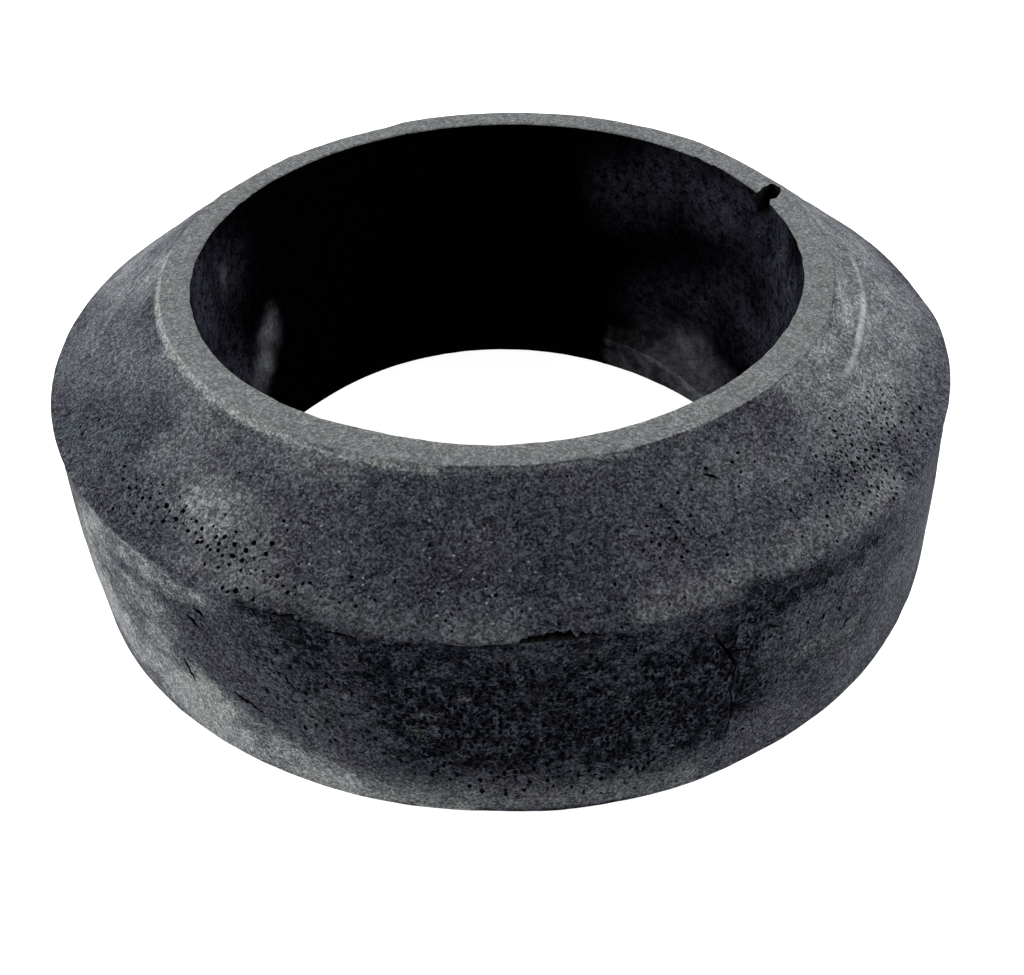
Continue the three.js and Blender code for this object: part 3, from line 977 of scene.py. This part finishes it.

# %% [markdown]
# The bore has its own flat map, of millimetres along its wall and up from the foot. Its
# near-black is painted shade, with grey smudges on the left, a worn grey lip at the foot on the
# right, and painted light as grey grain where the light reaches in over the rim.

# %% Painting the bore
bore_strokes = [
    # half width in mm, strength, then the path's places as [azimuth, height in mm]
    (1.8, 0.4, [148.4, 14.9], [149.6, 13.6]),
    (3.2, 0.6, [150.3, 12.6], [152, 10.6]),
    (2.8, 0.6, [153.6, 9.4], [155.5, 7]),
    (1.3, 0.4, [163.6, 24.2], [164.6, 22.8]),
    (0.9, 0.45, [63, 4], [55, 3.9]),
    (1.3, 1.2, [55, 3.9], [50, 3.65], [43, 3], [36, 2.3], [28, 2]),
    (3, 0.45, [60, 1.5], [50, 1.5], [40, 1.2], [32, 1]),
    (3.2, 0.26, [54, 5.4], [46, 6.4], [39, 7]),
    (3.6, 0.5, [44, 4.6], [36, 4.4], [29, 3.4]),
    (3, 0.6, [36, 1.6], [28, 1.4], [20, 1.4]),
]
# painted light: paler grain on the bore's wall where the light grazes in over the rim
bore_light_strokes = [
    (7, 1.3, [182, 27], [180, 21], [172, 15], [165, 11]),
    (8, 0.7, [176, 26], [164, 24]),
    (4.5, 1.2, [-5, 28], [4, 24], [10, 27]),
    (5, 0.8, [4, 22], [12, 15], [18, 12]),
    (7, 0.8, [10, 26], [30, 27], [45, 26], [60, 23]),
    (8, 0.6, [14, 18], [30, 14], [50, 9]),
    (12, 0.4, [-30, 15], [-90, 15], [-150, 15]),
]


def unrolled_bore(azimuth, up):
    """Millimetres round the bore and up from the foot."""
    return np.stack([np.radians(azimuth) * bore_radius / MM, up], axis=-1)


bore_map = (unrolled_bore(azimuths, skin[:, 2] / MM), unrolled_bore, bore_radius)
smudge = painted(bore_strokes, *bore_map) * (0.8 + 0.9 * smear + 0.4 * mottle) * bore_share
# painted light on the bore's wall
bore_painted_light = painted(bore_light_strokes, *bore_map) * (0.8 + 0.7 * mottle) * bore_share

amounts = dict(
    dust_and_highlight=dust_and_highlight, painted_light=painted_light, painted_shade=painted_shade, smudge=smudge, bore_painted_light=bore_painted_light, pored=pored,
    specked=specked, fold=fold, fold_gap=fold_gap, bore=bore_share, land=land_share,
)
for name, values in amounts.items():
    values = np.clip(values, 0, 1).astype(np.float32)
    layer = ring.data.attributes.new(name, "FLOAT", "POINT")
    layer.data.foreach_set("value", values)
    print(f"{name} covers {values.mean():.3f} of the vertices")

# %% [markdown]
# ## Shader maths
#
# A material's maths reads best as plain expressions. Signal wraps a socket, and an expression
# on signals adds the Math nodes that work it out. Graph adds any other node from its type, its
# settings and the values or links of its sockets.


# %% Signal and Graph
class Signal:
    """One socket's value. Expressions on it add Math nodes."""

    def __init__(self, graph, socket):
        self.graph = graph
        self.socket = socket

    def maths(self, operation, left, right):
        return self.graph.node("ShaderNodeMath", {"operation": operation}, {0: left, 1: right})

    def __add__(self, other):
        return self.maths("ADD", self, other)

    def __sub__(self, other):
        return self.maths("SUBTRACT", self, other)

    def __rsub__(self, other):
        return self.maths("SUBTRACT", other, self)

    def __mul__(self, other):
        return self.maths("MULTIPLY", self, other)

    __radd__ = __add__
    __rmul__ = __mul__

    def size(self):
        """The value without its sign."""
        return self.maths("ABSOLUTE", self, 0)

    def eased(self, start, end):
        """0 at start and below, 1 at end and beyond, and smooth between them."""
        sockets = {"Value": self, "From Min": start, "From Max": end}
        return self.graph.node("ShaderNodeMapRange", {"interpolation_type": "SMOOTHSTEP"}, sockets)


class Graph:
    """A material's nodes."""

    def __init__(self, material):
        self.tree = material.node_tree
        self.shader = self.tree.nodes["Principled BSDF"]

    def node(self, kind, settings=None, sockets=None, output=0):
        made = self.tree.nodes.new(kind)
        for name, value in (settings or {}).items():
            setattr(made, name, value)
        for name, value in (sockets or {}).items():
            self.feed(made.inputs[name], value)
        return Signal(self, made.outputs[output])

    def feed(self, socket, value):
        if isinstance(value, Signal):
            self.tree.links.new(value.socket, socket)
        else:
            socket.default_value = value

    def set(self, **values):
        """Feeds the shader's sockets. An underscore stands for a space in a socket's name."""
        for name, value in values.items():
            self.feed(self.shader.inputs[name.replace("_", " ")], value)

    def mix_in(self, share, sockets):
        """Mixes a second shader over the first by a share."""
        first = Signal(self, self.shader.outputs[0])
        second = self.node("ShaderNodeBsdfPrincipled", None, sockets)
        mixed = self.node("ShaderNodeMixShader", None, {0: share, 1: first, 2: second})
        self.feed(self.tree.nodes["Material Output"].inputs["Surface"], mixed)

    def amount(self, name):
        """A painted amount."""
        return self.node("ShaderNodeAttribute", {"attribute_name": name}, output=2)

    def place(self, stretch=(1, 1, 1)):
        spot = self.node("ShaderNodeTexCoord", output=3)
        return self.node("ShaderNodeMapping", None, {"Vector": spot, "Scale": stretch})

    def grain(self, size, detail=2.0, roughness=0.5, stretch=(1, 1, 1)):
        """Noise whose lumps are about size metres, from 0 to 1."""
        sockets = {"Vector": self.place(stretch), "Scale": 1 / size, "Detail": detail}
        return self.node("ShaderNodeTexNoise", None, {**sockets, "Roughness": roughness})

    def cells(self, size, stretch=(1, 1, 1)):
        """Distance to the nearest of scattered points, in cells, and a random number a cell."""
        sockets = {"Vector": self.place(stretch), "Scale": 1 / size}
        distance = self.node("ShaderNodeTexVoronoi", None, sockets)
        colour = Signal(self, distance.socket.node.outputs["Color"])
        chance = self.node("ShaderNodeSeparateColor", None, {0: colour})
        return distance, chance

    def blend(self, share, first, second):
        """One colour into another by a share."""
        sockets = {0: share, 6: as_colour(first), 7: as_colour(second)}
        return self.node("ShaderNodeMix", {"data_type": "RGBA"}, sockets, output=2)


def as_colour(value):
    return value if isinstance(value, Signal) else (*value, 1)


# %% [markdown]
# ## Moulded skin
#
# Sponge rubber is a dull blue-black. Close up it is a crowd of burst cells with dust in them, so
# its colour swings between black and grey over a few tenths of a millimetre, with a few white
# specks of talc. An image would blur close up, so the grain is noise. Small pores come from
# scattered cells whose middles are darkened and pressed in. Bloom, the wear of the land, painted
# highlights, painted light and painted shade, with the bore's near-black painted shade, are mixed
# over that by the painted amounts.

# %% The skin's material
sponge = Graph(moulded_skin)
amount = {name: sponge.amount(name) for name in amounts}

# %% Grain, pores and specks
_, salt = sponge.cells(0.17 * MM)
_, coarse_salt = sponge.cells(0.26 * MM)
fine_grain = sponge.grain(0.26 * MM, 2.0, 0.6)
lumps = sponge.grain(0.9 * MM, 3.0, 0.65)
blotches = sponge.grain(1.9 * MM, 2.0, 0.6)
patches = sponge.grain(4.5 * MM, 3.0, 0.6)
tint_drift = sponge.grain(8 * MM, 2.0, 0.5)

pore_distance, pore_chance = sponge.cells(0.52 * MM, (1, 1, 0.66))
ragged_distance = pore_distance + (fine_grain - 0.5) * 0.4
pore = (1 - ragged_distance.eased(0.3, 0.5)) * (pore_chance + amount["pored"] - 1).eased(0, 0.12)
speck_distance, speck_chance = sponge.cells(0.5 * MM)
speck = (1 - speck_distance.eased(0.12, 0.28)) * (speck_chance + amount["specked"] - 1).eased(0, 0.1)

# %% Tones of the bare rubber, with painted light and painted shade
grey = salt * 0.56 + coarse_salt * 0.27 + lumps.eased(0.25, 0.75) * 0.17
tone = grey * grey
drift = tint_drift.eased(0.4, 0.6)
brightest = sponge.blend(drift, (0.13, 0.131, 0.16), (0.118, 0.135, 0.158))
rubber = sponge.blend(tone, (0.005, 0.0053, 0.007), brightest)
# painted light: a paler rubber where the sides, the back and the lips catch the light
lit_rubber = sponge.blend(tone, (0.062, 0.065, 0.069), (0.43, 0.446, 0.466))
rubber = sponge.blend(amount["painted_light"] + (patches - 0.5) * 0.3, rubber, lit_rubber)
# painted shade: the rubber darkened where the front and the creases lie in shade, with its own grain
shaded_grey = grey.eased(0.2, 0.95)
_, wall_salt = sponge.cells(0.24 * MM, (1, 1, 0.7))
wall_lumps = sponge.grain(0.7 * MM, 3.0, 0.6, (1, 1, 0.66))
shaded_tone = shaded_grey * (0.2 + wall_salt) * (0.4 + wall_lumps.eased(0.34, 0.64))
shaded_tone = shaded_tone * (0.45 + 1.1 * blotches.eased(0.3, 0.7))
shaded_rubber = sponge.blend(shaded_tone, (0.0001, 0.0001, 0.0005), (0.042, 0.046, 0.063))
# mixes the painted shade over the rubber
rubber = sponge.blend(amount["painted_shade"] - (patches - 0.5) * 0.5, rubber, shaded_rubber)

# %% Dust and painted highlights, ground land and the bore's painted shade
palest = sponge.blend(drift, (0.41, 0.425, 0.44), (0.42, 0.435, 0.41))
dust_and_highlight_colour = sponge.blend(tone, (0.095, 0.099, 0.101), palest)
# dust and painted highlights share the pale colour
dust_and_highlight_share = amount["dust_and_highlight"] * (0.6 + 0.6 * grey) + (lumps - 0.5) * 0.4 * amount["dust_and_highlight"]
rubber = sponge.blend(dust_and_highlight_share.eased(0, 1), rubber, dust_and_highlight_colour)
ground = sponge.blend(tone, (0.062, 0.0645, 0.0655), (0.245, 0.253, 0.257))
land_edge = (amount["land"] + lumps - 0.5).eased(0.25, 0.75)
rubber = sponge.blend(land_edge, rubber, ground)
# painted highlight: a pale line along the fold's crest, mixed with dust
fold_distance = ((amount["fold_gap"] - 0.5) * (2 * gap_reach)).size()
fold_crest = (1 - fold_distance * 1.7).eased(0, 0.9) * amount["fold"]
rubber = sponge.blend(fold_crest * (0.45 + 0.7 * grey), rubber, (0.33, 0.34, 0.33))
bore_tone = (fine_grain * 0.45 + lumps * 0.55).eased(0.36, 0.66)
# painted shade: the bore's wall drawn near black, far darker than the rubber, because it lies in shade
painted_bore_shade = sponge.blend(bore_tone, (0.0001, 0.0001, 0.0002), (0.0012, 0.0011, 0.002))
# painted light: a grey where the light grazes the bore's wall
painted_bore_light = sponge.blend(bore_tone, (0.0012, 0.0012, 0.0028), (0.0275, 0.0277, 0.039))
painted_bore_shade = sponge.blend(amount["bore_painted_light"], painted_bore_shade, painted_bore_light)
smudged = amount["smudge"] * (0.4 + 0.75 * bore_tone)
painted_bore_shade = sponge.blend(smudged, painted_bore_shade, (0.11, 0.114, 0.128))
painted_bore_shade = sponge.blend(speck * amount["bore_painted_light"], painted_bore_shade, (0.09, 0.09, 0.11))
rubber = sponge.blend(pore, rubber, (0.0008, 0.0008, 0.0014))
# the talc specks are dimmed under the painted shade
talc = speck * (1 - amount["painted_shade"] * 0.7) * (0.5 + 0.7 * salt)
rubber = sponge.blend(talc, rubber, (0.24, 0.245, 0.255))

# %% Relief and gloss
relief = fine_grain * 0.5 + lumps * 0.7 - pore * 0.8
relief_sockets = {"Height": relief, "Distance": 0.1 * MM, "Strength": 0.9}
bumped = sponge.node("ShaderNodeBump", None, relief_sockets)
sponge.set(Base_Color=rubber, Roughness=0.9 - amount["dust_and_highlight"] * 0.05, Normal=bumped)
sponge.set(Specular_IOR_Level=0.006, Sheen_Weight=0.006, Sheen_Roughness=0.4)
bore_edge_noise = (lumps - 0.5) * 0.5 + (fine_grain - 0.5) * 0.4
# the bore's painted shade is mixed in with its own shader, without gloss
inside_bore = (amount["bore"] + bore_edge_noise * 0.5).eased(0.35, 0.65)
bore_shade_sockets = {"Base Color": painted_bore_shade, "Roughness": 1, "Specular IOR Level": 0, "Normal": bumped}
sponge.mix_in(inside_bore, bore_shade_sockets)

# %% [markdown]
# ## Open cells
#
# Inside a pit or a split the sponge is black, and hardly any light comes back out of it. One
# flat colour would look like paint, so a faint grain breaks it up.

# %% The open cells' material
inside = Graph(open_cells)
cell_grain = inside.grain(0.3 * MM, 2.0, 0.6)
cell_colour = inside.blend(cell_grain, (0.001, 0.001, 0.0014), (0.0045, 0.0045, 0.006))
cell_bump = inside.node("ShaderNodeBump", None, {"Height": cell_grain, "Distance": 0.1 * MM})
inside.set(Base_Color=cell_colour, Roughness=0.95, Normal=cell_bump, Specular_IOR_Level=0.1)

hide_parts("spud_gasket")
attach(ring, "root")
